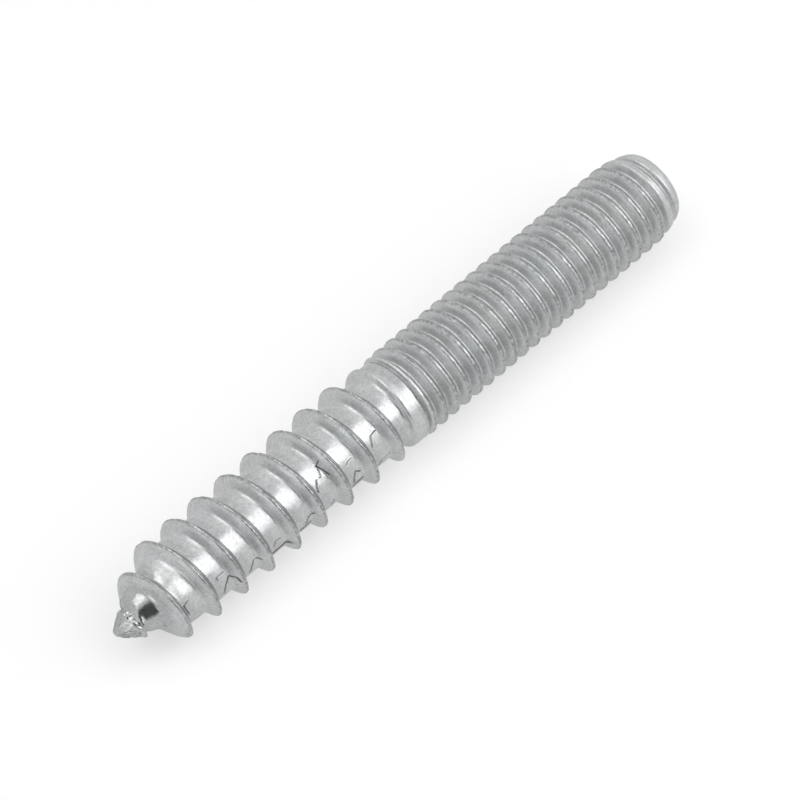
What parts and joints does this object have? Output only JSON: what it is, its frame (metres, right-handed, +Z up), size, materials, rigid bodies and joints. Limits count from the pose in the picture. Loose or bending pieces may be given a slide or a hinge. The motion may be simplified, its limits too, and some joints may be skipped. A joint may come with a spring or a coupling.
{
  "type": "hanger bolt",
  "caption": "Headless bolt with a coarse pointed wood thread at one end, a short plain collar and a machine thread with a long lead cone at the other.",
  "frame": {"origin": "under the middle of the bolt's length, on the surface that it lies on", "axes": "+X along the bolt from the wood point to the machine end, +Z up from the surface that it lies on"},
  "size_m": [0.0574, 0.008, 0.008],
  "materials": {
    "zinc_plated_steel": "bright zinc plating, satin, faintly mottled, with fine rolling laps on the thread roots"
  },
  "bodies": {
    "root": {"hanger_bolt": "zinc_plated_steel"}
  },
  "joints": []
}
